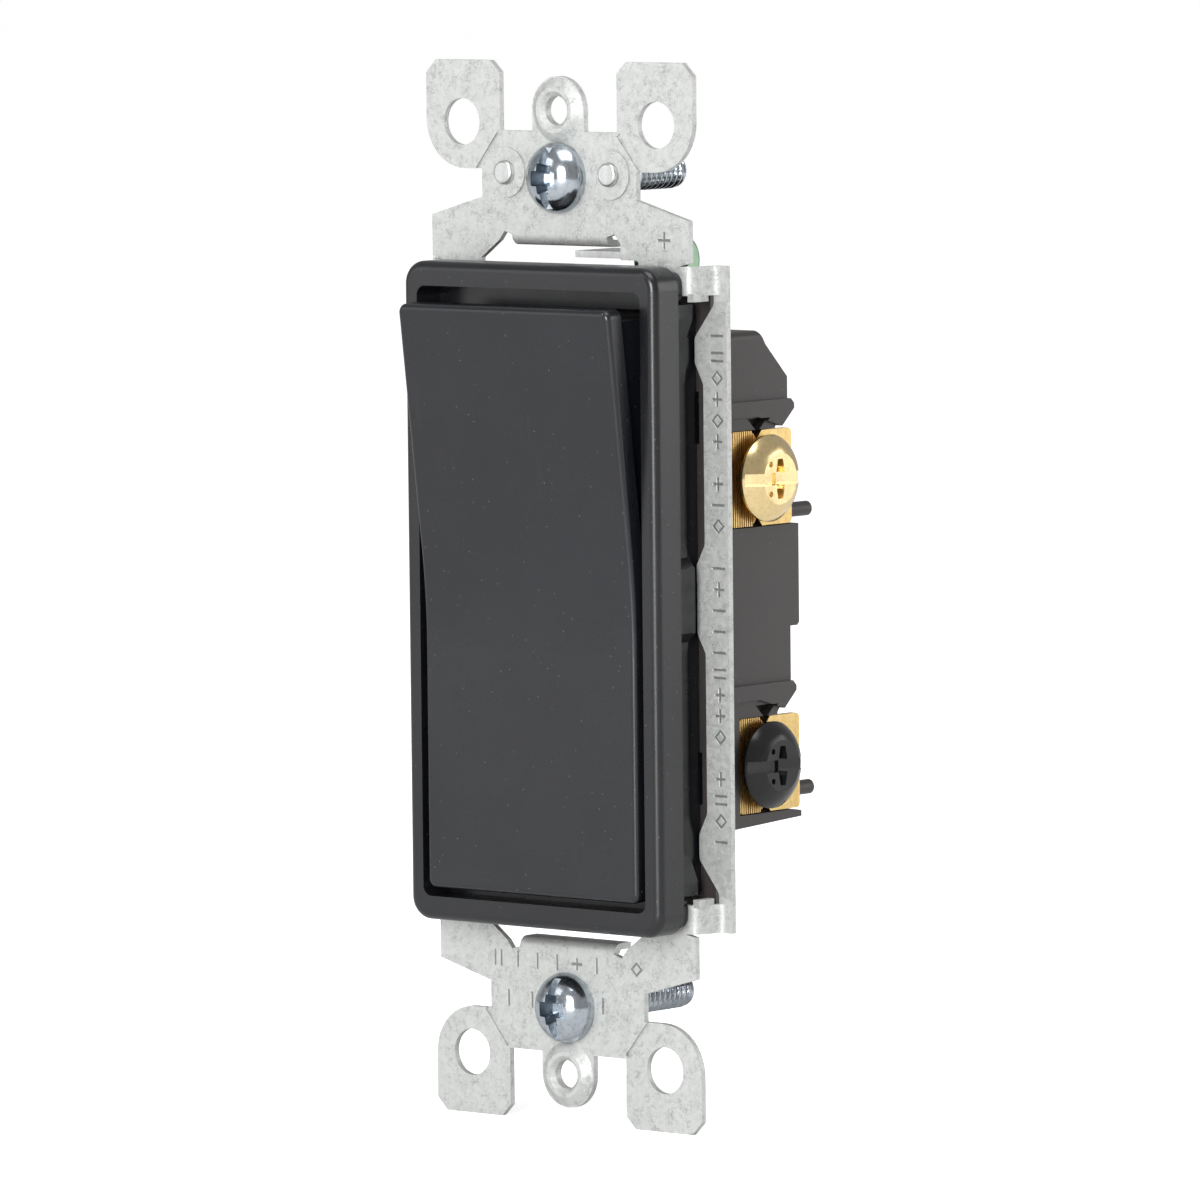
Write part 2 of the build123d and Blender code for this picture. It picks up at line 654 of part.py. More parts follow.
with BuildPart() as traveler_terminal_left:
    terminal_plate(LOWER_PLATE_Y, LOWER_Z)
    strip(LEG_X, TERMINAL_X + 0.2, LEG_Z - 1.6, LEG_Z)
    strip(LEG_X, LEG_X + 2.5, LEG_Z - 1.6, 1.6 - CONTACT_Z)
    strip(-CONTACT_R - 0.1, LEG_X + 2.5, -CONTACT_Z - 1.6, 1.6 - CONTACT_Z)
    mirror(about=Plane.YZ, mode=Mode.REPLACE)
save(traveler_terminal_left, "traveler_terminal_left")

with BuildPart() as common_terminal:
    terminal_plate(LOWER_PLATE_Y, LOWER_Z)
    strip(LEG_X, TERMINAL_X + 0.2, LEG_Z - 1.6, LEG_Z)
    strip(LEG_X, LEG_X + 2.5, LEG_Z - 1.6, 1.4)
    strip(-ARM_X + 0.5, LEG_X + 2.5, -1.4, 1.4)
    # Grooved post that the contact arm rocks in.
    block(13.95, STRIP_Y + 0.1, 2 * ARM_X - 1, 2.6)
    disc(ARM_X, -ARM_X, ARM_RIB_R + CLEAR, (ARM_PIVOT_Y, 0), side_plane, Mode.SUBTRACT)
save(common_terminal, "common_terminal")


def terminal_screw(height):
    """Binding screw with a domed head, a wide slot, a cross and two dimples, on the right."""
    top = HEAD_X + HEAD_T
    with BuildPart() as screw:
        with BuildSketch(Plane.XY.offset(height)):
            with BuildLine():
                Polyline(
                    (top, SCREW_Y),
                    (SCREW_END_X, SCREW_Y),
                    (SCREW_END_X, SCREW_Y + SCREW_R - 0.4),
                    (SCREW_END_X + 0.5, SCREW_Y + SCREW_R),
                    (HEAD_X, SCREW_Y + SCREW_R),
                    (HEAD_X, SCREW_Y + HEAD_R),
                    (HEAD_X + 0.25, SCREW_Y + HEAD_R),
                )
                ThreePointArc(
                    (HEAD_X + 0.25, SCREW_Y + HEAD_R),
                    (top - 0.25, SCREW_Y + HEAD_TOP_R + 0.55),
                    (top, SCREW_Y + HEAD_TOP_R),
                )
                Line((top, SCREW_Y + HEAD_TOP_R), (top, SCREW_Y))
            make_face()
        revolve(axis=Axis((0, SCREW_Y, height), (1, 0, 0)))
        block(top + 0.1, top - HEAD_SLOT, 2 * HEAD_R + 1, 1.25, at=(SCREW_Y, height),
              place=side_plane, mode=Mode.SUBTRACT)
        block(top + 0.1, top - HEAD_SLOT - 0.25, 1.3, 1.3, at=(SCREW_Y, height),
              place=side_plane, mode=Mode.SUBTRACT)
        with BuildSketch(side_plane(top + 0.05)) as cross:
            with BuildLine():
                Polyline(
                    (SCREW_Y - 0.85, height),
                    (SCREW_Y - 0.4, height + 2.0),
                    (SCREW_Y + 0.4, height + 2.0),
                    (SCREW_Y + 0.85, height),
                    (SCREW_Y + 0.4, height - 2.0),
                    (SCREW_Y - 0.4, height - 2.0),
                    close=True,
                )
            make_face()
        extrude(cross.sketch, amount=-1.1, taper=10, mode=Mode.SUBTRACT)
        for side in (1, -1):
            disc(top + 0.1, top - 0.35, 0.3, (SCREW_Y - 1.5, height + 1.5 * side),
                 side_plane, Mode.SUBTRACT)
    return screw


traveler_screw_right = terminal_screw(UPPER_Z)
common_screw = terminal_screw(LOWER_Z)
save(traveler_screw_right, "traveler_screw_right")
save(common_screw, "common_screw")

with BuildPart() as traveler_screw_left:
    mirror(common_screw.part, about=Plane.YZ)
save(traveler_screw_left, "traveler_screw_left")


# ---- rear body: flange, stepped box, wire hoods and the hollows for the works -----------
def profile(points, half_width, mode=Mode.ADD):
    """Solid with the given side outline, as wide as twice half_width."""
    with BuildSketch(side_plane(0)) as outline:
        with BuildLine():
            Polyline(*points, close=True)
        make_face()
    extrude(outline.sketch, amount=half_width, both=True, mode=mode)


with BuildPart() as rear_body:
    profile(
        [
            (FLANGE_BACK - 0.5, BODY_TOP_Z),
            (14.9, BODY_TOP_Z),
            (15.8, 24.6),
            (19.2, 21.2),
            (19.2, 19.0),
            (17.2, 16.2),
            (17.2, 7.9),
            (20.8, 7.7),
            (20.8, -3.7),
            (20.5, -4.0),
            (19.4, -4.0),
            (19.4, -9.5),
            (17.2, -12.6),
            (17.2, -22.2),
            (20.9, -22.8),
            (20.9, BODY_LOW_Z),
            (FLANGE_BACK - 0.5, BODY_LOW_Z - 0.8),
        ],
        BODY_X,
    )
    fillet(
        rear_body.edges().filter_by(Axis.Y).filter_by(lambda edge: edge.length > 9), 0.8
    )
    block(FLANGE_Y, FLANGE_BACK, 2 * FLANGE_X, 2 * FLANGE_Z, radius=1.5)
    block(10.0, 19.0, 2 * SPINE_X, 41.0, at=(0, -1.6))
    # Hoods above the terminals, slightly proud of the box, with a slit under each.
    for base in (19.0, -9.5):
        profile(
            [
                (6.0, base),
                (19.3, base),
                (19.8, base - 0.5),
                (19.8, base - 1.0),
                (17.9, base - 2.7),
                (14.0, base - 1.6),
                (6.0, base - 1.6),
            ],
            HOOD_X,
        )
    # Recesses for the terminal plates, with the bores behind their screws.
    for side, plate_y, height in (
        (1, UPPER_PLATE_Y, UPPER_Z),
        (1, LOWER_PLATE_Y, LOWER_Z),
        (-1, LOWER_PLATE_Y, LOWER_Z),
    ):
        start = plate_y - TERMINAL_SIZE / 2 - 0.1
        near, far = sorted((side * 14.0, side * (TERMINAL_X - 0.1)), reverse=True)
        block(near, far, 26 - start, TERMINAL_SIZE + 0.2, at=((26 + start) / 2, height),
              place=side_plane, mode=Mode.SUBTRACT)
        near, far = sorted((side * 13.0, side * BORE_END_X), reverse=True)
        disc(near, far, SCREW_BORE_R, (SCREW_Y, height), side_plane, Mode.SUBTRACT)
        # Pointed wire guide over the plate's notch.
        near, far = sorted((side * 14.0, side * (BODY_X - 1.2)), reverse=True)
        top = height + TERMINAL_SIZE / 2
        with BuildSketch(side_plane(far)) as guide:
            with BuildLine():
                Polyline(
                    (plate_y - 2.4, top + 1.25),
                    (plate_y + 0.8, top + 1.25),
                    (plate_y - 0.8, top - 0.2),
                    close=True,
                )
            make_face()
        extrude(guide.sketch, amount=near - far, mode=Mode.SUBTRACT)
    # Hollows: a wide one under the rocker and a deep one round the contact arm.
    block(FLANGE_Y - 0.1, POCKET_BACK, 2 * POCKET_X, 2 * POCKET_Z, at=(0, 1.25),
          mode=Mode.SUBTRACT)
    block(POCKET_BACK - 0.1, FLOOR_Y, 2 * WELL_X, 2 * WELL_Z, at=(0, -2.9),
          mode=Mode.SUBTRACT)
    # Slots through which the brass strips reach their terminal plates.
    slot_x = (WELL_X + TERMINAL_X) / 2
    slot_width = TERMINAL_X - WELL_X + 0.6
    with BuildSketch(room_plane(FLOOR_Y + 0.1)) as slots:
        with Locations((slot_x, CONTACT_Z)):
            Rectangle(slot_width, 3.4)
        with Locations((slot_x, LEG_Z - 0.8), (-slot_x, LEG_Z - 0.8)):
            Rectangle(slot_width, 1.8)
    extrude(slots.sketch, amount=1.0, mode=Mode.SUBTRACT)
    # Passages through the flange: the frame's hooks and the corner with the ground screw.
    for x in (HOOK_X + 0.05, -HOOK_X - 0.05):
        for z in (HOOK_Z, -HOOK_Z):
            block(FLANGE_Y - 0.1, FLANGE_BACK + 0.1, 1.6, HOOK_WIDTH + 0.2, at=(x, z),
                  mode=Mode.SUBTRACT)
    block(FLANGE_Y - 0.1, FLANGE_BACK + 0.1, 5.8, 4.0, at=(10.4, 32.5), mode=Mode.SUBTRACT)
    # Push-in wire holes with their release slots, in the rear of the box.
    for x, height in ((5.5, UPPER_Z), (5.5, LOWER_Z), (-5.5, LOWER_Z)):
        disc(13.0, 19.5, WIRE_HOLE_R, at=(x, height + 2.0), mode=Mode.SUBTRACT)
        block(16.0, 19.5, 3.4, 1.2, at=(x, height - 0.6), mode=Mode.SUBTRACT)
    # Round pegs standing off the rear face beside each terminal.
    for x in (PEG_X, -PEG_X):
        for height in (UPPER_Z - 3.7, LOWER_Z - 3.1):
            disc(17.0, PEG_END, PEG_R, at=(x, height))
save(rear_body, "rear_body")
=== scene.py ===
from math import cos, pi, radians, sin

import bmesh
import bpy
import numpy as np
from mathutils import Matrix, Vector


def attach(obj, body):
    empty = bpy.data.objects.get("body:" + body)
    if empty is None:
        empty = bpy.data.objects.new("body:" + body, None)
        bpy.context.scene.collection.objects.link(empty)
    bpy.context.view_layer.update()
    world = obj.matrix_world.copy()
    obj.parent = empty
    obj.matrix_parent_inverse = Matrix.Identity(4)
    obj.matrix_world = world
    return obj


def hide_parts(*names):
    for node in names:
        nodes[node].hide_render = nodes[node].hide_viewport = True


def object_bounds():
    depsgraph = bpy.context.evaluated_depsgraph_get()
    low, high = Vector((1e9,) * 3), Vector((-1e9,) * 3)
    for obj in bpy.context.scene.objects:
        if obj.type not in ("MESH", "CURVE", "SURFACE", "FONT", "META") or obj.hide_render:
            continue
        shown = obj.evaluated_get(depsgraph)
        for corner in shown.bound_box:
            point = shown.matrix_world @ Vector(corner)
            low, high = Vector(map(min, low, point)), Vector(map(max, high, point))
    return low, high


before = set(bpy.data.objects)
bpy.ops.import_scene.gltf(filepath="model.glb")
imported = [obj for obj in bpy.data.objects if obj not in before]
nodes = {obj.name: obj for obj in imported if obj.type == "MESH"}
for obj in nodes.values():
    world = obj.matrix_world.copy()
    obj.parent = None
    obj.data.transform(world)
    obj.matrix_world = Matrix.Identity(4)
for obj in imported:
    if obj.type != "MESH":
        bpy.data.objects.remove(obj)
cad_low, cad_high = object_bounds()

MM = 0.001

# ---- sizes of the pieces made here ------------------------------------------------------
BOX_SCREW_Z = 41.67 * MM
BOX_SCREW_MAJOR = 1.75 * MM
BOX_SCREW_MINOR = 1.27 * MM
BOX_SCREW_PITCH = 0.794 * MM     # thirty-two threads to the inch
BOX_SCREW_TIP = 18.0 * MM
THREAD_START = 2.0 * MM
NECK_R = 1.44 * MM
SHANK_START = -0.5 * MM
HEAD_CUT = -0.4 * MM             # the head is kept in front of this depth
SHANK_SIDES = 40                 # points round the thread
RINGS_PER_PITCH = 12
WAVE_GAIN, WAVE_DROP = 1.25, 0.1  # cut the thread's crest and its root flat
FADE_TURNS = 1.2                 # the thread runs out over this many turns
TIP_LENGTH = 0.4 * MM
TIP_NARROWING = 0.2              # share of the radius lost at the very tip
POLE_MERGE = 1e-7                # metres; points closer than this become one
FACET_MERGE = 1e-6

# ---- pressed marks ----------------------------------------------------------------------
STROKE = 0.11 * MM               # half width of a pressed line
SOFT_EDGE = 0.06 * MM
TICK_HALF = 0.8 * MM
PAIR_GAP = 0.4 * MM              # from the middle to each tick of a pair
CROSS_TALL, CROSS_WIDE = 0.6 * MM, 0.7 * MM
LOZENGE_HALF = 0.5 * MM
LOZENGE_SLOPE = 0.8
RAIL_SIGN_X = 17.9 * MM          # middle of the signs on a rail
RAIL_SIGN_PITCH = 2.1 * MM
RAIL_SIGN_MIDDLE = 0.5 * MM
RAIL_SIGN_REACH = 26.2 * MM
CORNER_X, CORNER_Z = 13.6 * MM, 35.7 * MM
CORNER_HALF = 0.8 * MM
SIGN_ROWS = (                    # height, half length and pitch of the lower plate's two rows
    (-37.2 * MM, 10.4 * MM, 2.6 * MM),
    (-41.2 * MM, 9.3 * MM, 3.1 * MM),
)
FRONT_FACING = -0.7              # a normal whose Y is below this faces the front


# ---- meshes -----------------------------------------------------------------------------
def grid_mesh(name, rows):
    """Closed tube from an array of rings, rows[i, j] = point j of ring i; rings wrap round.

    The first and last ring may shrink to one point, and are merged there into a pole."""
    count, around = rows.shape[:2]
    i = np.arange(count - 1)[:, None]
    j = np.arange(around)[None, :]
    after = (j + 1) % around
    near, far = i * around, (i + 1) * around
    faces = np.stack([near + j, near + after, far + after, far + j], axis=-1).reshape(-1, 4)
    mesh = bpy.data.meshes.new(name)
    mesh.from_pydata(rows.reshape(-1, 3).tolist(), [], faces.tolist())
    work = bmesh.new()
    work.from_mesh(mesh)
    bmesh.ops.remove_doubles(work, verts=work.verts, dist=POLE_MERGE)
    bmesh.ops.recalc_face_normals(work, faces=work.faces)
    work.to_mesh(mesh)
    work.free()
    mesh.shade_smooth()
    piece = bpy.data.objects.new(name, mesh)
    bpy.context.scene.collection.objects.link(piece)
    return piece


def threaded_shank(name, height):
    """Screw thread along +Y at the given height, with a plain neck below the head.

    The radius is minor + (major - minor) * wave, where wave is a triangle of the phase
    (distance / pitch - angle / full turn) with its crest and root cut flat, and it fades to
    nothing at the end. Up to the thread's start the radius is the neck's, and the very tip
    narrows evenly."""
    start, end = SHANK_START, BOX_SCREW_TIP
    around = SHANK_SIDES
    steps = int((end - start) / BOX_SCREW_PITCH * RINGS_PER_PITCH)
    along = np.linspace(start, end, steps)[:, None]
    angle = np.linspace(0, 2 * pi, around, endpoint=False)[None, :]
    phase = (along / BOX_SCREW_PITCH - angle / (2 * pi)) % 1.0
    wave = np.clip(WAVE_GAIN * np.abs(2 * phase - 1) - WAVE_DROP, 0, 1)
    fade = np.clip((end - along) / (FADE_TURNS * BOX_SCREW_PITCH), 0, 1)
    radius = BOX_SCREW_MINOR + (BOX_SCREW_MAJOR - BOX_SCREW_MINOR) * wave * fade
    radius = np.where(along < THREAD_START, NECK_R, radius)
    tip = np.clip((end - along) / TIP_LENGTH, 0, 1)
    radius = radius * (1 - TIP_NARROWING + TIP_NARROWING * tip)
    rows = np.stack(
        [radius * np.cos(angle), along + 0 * angle, height + radius * np.sin(angle)], axis=-1
    )
    poles = np.zeros((2, around, 3))
    poles[0] = (0, start, height)
    poles[1] = (0, end, height)
    rows = np.concatenate([poles[:1], rows, poles[1:]])
    return grid_mesh(name, rows)


def head_of(node_name, name, cut):
    """Copy of a screw's solid with everything behind the depth cut taken off and closed."""
    work = bmesh.new()
    work.from_mesh(nodes[node_name].data)
    bmesh.ops.remove_doubles(work, verts=work.verts, dist=FACET_MERGE)
    every = work.verts[:] + work.edges[:] + work.faces[:]
    bmesh.ops.bisect_plane(
        work, geom=every, plane_co=(0, cut, 0), plane_no=(0, 1, 0), clear_outer=True
    )
    rim = [edge for edge in work.edges if edge.is_boundary]
    bmesh.ops.holes_fill(work, edges=rim)
    mesh = bpy.data.meshes.new(name)
    work.to_mesh(mesh)
    work.free()
    piece = bpy.data.objects.new(name, mesh)
    bpy.context.scene.collection.objects.link(piece)
    return piece


# ---- shader nodes -----------------------------------------------------------------------
def put(tree, kind, inputs=None, **settings):
    """Adds a node, sets its options, and fills its inputs with values or links."""
    made = tree.nodes.new(kind)
    for option, value in settings.items():
        setattr(made, option, value)
    for name, value in (inputs or {}).items():
        if isinstance(value, bpy.types.NodeSocket):
            tree.links.new(value, made.inputs[name])
        else:
            made.inputs[name].default_value = value
    return made


def calc(tree, operation, first, second=0.0):
    """One Math node; returns its output."""
    return put(tree, "ShaderNodeMath", {0: first, 1: second}, operation=operation).outputs[0]


def weighted(tree, first, share, second, other_share):
    """Sum of two values, each times its share."""
    parts = (calc(tree, "MULTIPLY", first, share), calc(tree, "MULTIPLY", second, other_share))
    return calc(tree, "ADD", *parts)


def spread(tree, value, low, high, to_low=0.0, to_high=1.0):
    """Maps a value from low..high to to_low..to_high, clamped."""
    inputs = {
        "Value": value, "From Min": low, "From Max": high, "To Min": to_low, "To Max": to_high
    }
    return put(tree, "ShaderNodeMapRange", inputs).outputs["Result"]


def blend_colours(tree, factor, first, second):
    """Mix of two colours by a factor."""
    made = put(tree, "ShaderNodeMix", data_type="RGBA")
    sockets = (made.inputs[0], made.inputs[6], made.inputs[7])
    for socket, value in zip(sockets, (factor, first, second)):
        if isinstance(value, bpy.types.NodeSocket):
            tree.links.new(value, socket)
        else:
            socket.default_value = value
    return made.outputs[2]


def new_group(name, inputs, outputs):
    """Empty shader node group with named float inputs and outputs."""
    tree = bpy.data.node_groups.new(name, "ShaderNodeTree")
    for label, value in inputs.items():
        socket = tree.interface.new_socket(label, in_out="INPUT", socket_type="NodeSocketFloat")
        socket.default_value = value
    for label in outputs:
        tree.interface.new_socket(label, in_out="OUTPUT", socket_type="NodeSocketFloat")
    return tree, tree.nodes.new("NodeGroupInput"), tree.nodes.new("NodeGroupOutput")


def noise(tree, place, scale, detail, roughness, stretch=None):
    """Noise on object coordinates, optionally stretched along the axes."""
    if stretch:
        place = put(tree, "ShaderNodeMapping", {"Vector": place, "Scale": stretch}).outputs[0]
    inputs = {"Vector": place, "Scale": scale, "Detail": detail, "Roughness": roughness}
    return put(tree, "ShaderNodeTexNoise", inputs).outputs["Fac"]


RUB_STRETCH = (1.0, 1.0, 0.06)      # rub marks and rolling streaks run long in Z
STREAK_STRETCH = (1.0, 1.0, 0.05)
FLAKE_DRIFT = 0.7 * MM              # how far the edges of the zinc flakes wander


def moulded_grain():
    """Fine moulded texture, cloudy gloss, rub marks and pale dust specks for plastics."""
    sockets = {"Grain Scale": 9000.0, "Cloud Scale": 90.0}
    tree, given, out = new_group("Moulded grain", sockets, ("Height", "Cloud", "Rub", "Dust"))
    place = put(tree, "ShaderNodeTexCoord").outputs["Object"]
    grain = noise(tree, place, given.outputs["Grain Scale"], 3.0, 0.6)
    cloud = noise(tree, place, given.outputs["Cloud Scale"], 4.0, 0.55)
    scratch = noise(tree, place, 700.0, 2.0, 0.5, RUB_STRETCH)
    dust = put(tree, "ShaderNodeTexVoronoi", {"Vector": place, "Scale": 900.0}).outputs["Distance"]
    tree.links.new(grain, out.inputs["Height"])
    tree.links.new(spread(tree, cloud, 0.3, 0.7), out.inputs["Cloud"])
    tree.links.new(spread(tree, scratch, 0.66, 0.74), out.inputs["Rub"])
    tree.links.new(spread(tree, dust, 0.07, 0.04), out.inputs["Dust"])
    return tree


def rolled_metal():
    """Dark specks, rolling streaks, soft blotches and a fine height for sheet and bar metal."""
    sockets = {"Speck Scale": 2600.0, "Streak Scale": 1500.0}
    tree, given, out = new_group("Rolled metal", sockets, ("Height", "Speck", "Streak", "Blotch"))
    place = put(tree, "ShaderNodeTexCoord").outputs["Object"]
    speck = noise(tree, place, given.outputs["Speck Scale"], 5.0, 0.75)
    streak = noise(tree, place, given.outputs["Streak Scale"], 3.0, 0.6, STREAK_STRETCH)
    blotch = noise(tree, place, 190.0, 3.0, 0.6)
    height = weighted(tree, speck, 0.6, streak, 0.4)
    tree.links.new(height, out.inputs["Height"])
    tree.links.new(spread(tree, speck, 0.5, 0.68), out.inputs["Speck"])
    tree.links.new(spread(tree, streak, 0.4, 0.75), out.inputs["Streak"])
    tree.links.new(spread(tree, blotch, 0.35, 0.65), out.inputs["Blotch"])
    return tree


def zinc_spangle():
    """Crystal flakes of uneven tone, and the grey pits where hot-dip zinc is thin."""
    tree, _, out = new_group("Zinc spangle", {}, ("Flake", "Pit", "Bright"))
    place = put(tree, "ShaderNodeTexCoord").outputs["Object"]
    wander = {"Vector": place, "Scale": 700.0, "Detail": 2.0}
    drift = put(tree, "ShaderNodeTexNoise", wander).outputs["Color"]
    drift = put(tree, "ShaderNodeVectorMath", {0: drift, "Scale": FLAKE_DRIFT}, operation="SCALE")
    bent = put(tree, "ShaderNodeVectorMath", {0: place, 1: drift.outputs[0]}, operation="ADD")
    cells = {"Vector": bent.outputs[0], "Scale": 2600.0}
    flake = put(tree, "ShaderNodeTexVoronoi", cells).outputs["Color"]
    tone = put(tree, "ShaderNodeSeparateColor", {"Color": flake}).outputs[0]
    cluster = noise(tree, place, 900.0, 4.0, 0.75)
    fine = noise(tree, place, 5200.0, 3.0, 0.7)
    pits = weighted(tree, cluster, 0.45, fine, 0.55)
    tree.links.new(tone, out.inputs["Flake"])
    tree.links.new(spread(tree, pits, 0.51, 0.6), out.inputs["Pit"])
    tree.links.new(spread(tree, fine, 0.52, 0.7), out.inputs["Bright"])
    return tree


def within(tree, value, middle, half):
    """1 where a value is within half of middle, with a soft edge."""
    off = calc(tree, "ABSOLUTE", calc(tree, "SUBTRACT", value, middle))
    return spread(tree, off, half - SOFT_EDGE, half + SOFT_EDGE, 1.0, 0.0)


def either(tree, first, second):
    """The larger of two masks."""
    return calc(tree, "MAXIMUM", first, second)


def both(tree, first, second):
    """The product of two masks."""
    return calc(tree, "MULTIPLY", first, second)


def cut_into_cells(tree, value, pitch):
    """Number of the cell a value lies in, and the distance from the middle of that cell."""
    row = calc(tree, "DIVIDE", value, pitch)
    from_middle = calc(tree, "SUBTRACT", calc(tree, "FRACT", row), 0.5)
    return calc(tree, "FLOOR", row), calc(tree, "MULTIPLY", from_middle, pitch)


def plus(tree, along, across, half_tall, half_wide):
    """Mask of a cross whose arms reach half_tall across and half_wide along from its middle."""
    upright = both(tree, within(tree, along, 0.0, STROKE), within(tree, across, 0.0, half_tall))
    level = both(tree, within(tree, across, 0.0, STROKE), within(tree, along, 0.0, half_wide))
    return either(tree, upright, level)


def small_signs(tree, number, along, across):
    """Mask of a tick, a pair of ticks, a cross or a lozenge, as a number drawn for the cell says.

    The lozenge is where slope * |along| + slope * |across| equals its half size. A cell that
    draws a number above the last share stays blank."""
    draw = put(tree, "ShaderNodeTexWhiteNoise", {"W": number}, noise_dimensions="1D")
    drawn = draw.outputs["Value"]
    apart = calc(tree, "ABSOLUTE", along)
    tall = within(tree, across, 0.0, TICK_HALF)
    tick = both(tree, within(tree, along, 0.0, STROKE), tall)
    pair = both(tree, within(tree, apart, PAIR_GAP, STROKE), tall)
    cross = plus(tree, along, across, CROSS_TALL, CROSS_WIDE)
    aside = calc(tree, "ABSOLUTE", across)
    around = weighted(tree, apart, LOZENGE_SLOPE, aside, LOZENGE_SLOPE)
    lozenge = within(tree, around, LOZENGE_HALF, STROKE)
    mask = None
    choices = ((tick, 0.0, 0.25), (pair, 0.25, 0.45), (cross, 0.45, 0.62), (lozenge, 0.62, 0.85))
    for shape, low, high in choices:
        over = calc(tree, "GREATER_THAN", drawn, low)
        under = calc(tree, "LESS_THAN", drawn, high)
        piece = both(tree, shape, both(tree, over, under))
        mask = piece if mask is None else either(tree, mask, piece)
    return mask


def stamped_marks():
    """Plain ticks, crosses and lozenges pressed into the front of the strap, as a mask for their
    bump and for the painted shade that darkens them.

    A line of them runs up each rail, two short rows stand on the lower end plate, and a cross is
    pressed into the upper right corner."""
    tree, _, out = new_group("Stamped marks", {}, ("Mask",))
    coordinates = put(tree, "ShaderNodeTexCoord")
    facing = put(tree, "ShaderNodeSeparateXYZ", {"Vector": coordinates.outputs["Normal"]})
    spot = put(tree, "ShaderNodeSeparateXYZ", {"Vector": coordinates.outputs["Object"]})
    x, z = spot.outputs["X"], spot.outputs["Z"]
    number, along = cut_into_cells(tree, z, RAIL_SIGN_PITCH)
    across = calc(tree, "SUBTRACT", calc(tree, "ABSOLUTE", x), RAIL_SIGN_X)
    signs = small_signs(tree, number, along, across)
    mask = both(tree, signs, within(tree, z, RAIL_SIGN_MIDDLE, RAIL_SIGN_REACH))
    # Two rows on the lower end plate, a long one by the window and a broken one by the screw.
    for row_z, half, pitch in SIGN_ROWS:
        number, along = cut_into_cells(tree, x, pitch)
        signs = small_signs(tree, number, along, calc(tree, "SUBTRACT", z, row_z))
        mask = either(tree, mask, both(tree, signs, within(tree, x, 0.0, half)))
    # Cross in the right corner of the upper end plate.
    corner = [calc(tree, "SUBTRACT", x, CORNER_X), calc(tree, "SUBTRACT", z, CORNER_Z)]
    mask = either(tree, mask, plus(tree, *corner, CORNER_HALF, CORNER_HALF))
    mask = both(tree, mask, calc(tree, "LESS_THAN", facing.outputs["Y"], FRONT_FACING))
    tree.links.new(mask, out.inputs["Mask"])
    return tree


GRAIN = moulded_grain()
ROLLED = rolled_metal()
SPANGLE = zinc_spangle()
STAMPS = stamped_marks()
DUST_COLOUR = (0.35, 0.34, 0.33, 1)
DUST_SHARE = 0.25
FINE_BUMP = 0.03 * MM            # height of moulded grain and of rolling marks
PRESSED_BUMP = 0.12 * MM         # depth of the pressed marks


def new_material(name):
    """Material with its own Principled shader."""
    material = bpy.data.materials.new(name)
    material.use_nodes = True
    tree = material.node_tree
    return material, tree, tree.nodes["Principled BSDF"]


def roughen(tree, shader, height, strength, distance):
    """Bump of a given strength and distance in front of a shader's normal."""
    inputs = {"Strength": strength, "Distance": distance, "Height": height}
    bump = put(tree, "ShaderNodeBump", inputs)
    tree.links.new(bump.outputs[0], shader.inputs["Normal"])


def layer(tree, mask, share, under, over):
    """Colour over laid on colour under where the mask is, at most by its share."""
    return blend_colours(tree, calc(tree, "MULTIPLY", mask, share), under, over)


def plastic(name, colour, pale, roughness, grain, depth):
    """Moulded plastic: cloudy gloss, fine grain, faint rub marks and a little dust."""
    material, tree, shader = new_material(name)
    group = put(tree, "ShaderNodeGroup", node_tree=GRAIN)
    group.inputs["Grain Scale"].default_value = grain
    cloud, rub = group.outputs["Cloud"], group.outputs["Rub"]
    mottled = layer(tree, cloud, 0.5, colour, pale)
    worn = layer(tree, rub, 0.35, mottled, pale)
    dusty = layer(tree, group.outputs["Dust"], DUST_SHARE, worn, DUST_COLOUR)
    tree.links.new(dusty, shader.inputs["Base Color"])
    gloss = spread(tree, cloud, 0.0, 1.0, roughness - 0.04, roughness + 0.05)
    rubbed = calc(tree, "ADD", gloss, calc(tree, "MULTIPLY", rub, 0.06))
    tree.links.new(rubbed, shader.inputs["Roughness"])
    roughen(tree, shader, group.outputs["Height"], depth, FINE_BUMP)
    return material


def metal(name, colour, dark, roughness, metallic=1.0, specks=0.6, streaks=0.4, scale=2600.0):
    """Bare or plated metal: dark specks, rolling streaks and uneven gloss."""
    material, tree, shader = new_material(name)
    group = put(tree, "ShaderNodeGroup", node_tree=ROLLED)
    group.inputs["Speck Scale"].default_value = scale
    toned = layer(tree, group.outputs["Streak"], streaks, colour, dark)
    specked = layer(tree, group.outputs["Speck"], specks, toned, dark)
    tree.links.new(specked, shader.inputs["Base Color"])
    shader.inputs["Metallic"].default_value = metallic
    gloss = spread(tree, group.outputs["Blotch"], 0.0, 1.0, roughness - 0.06, roughness + 0.08)
    tree.links.new(gloss, shader.inputs["Roughness"])
    roughen(tree, shader, group.outputs["Height"], 0.3, FINE_BUMP)
    return material


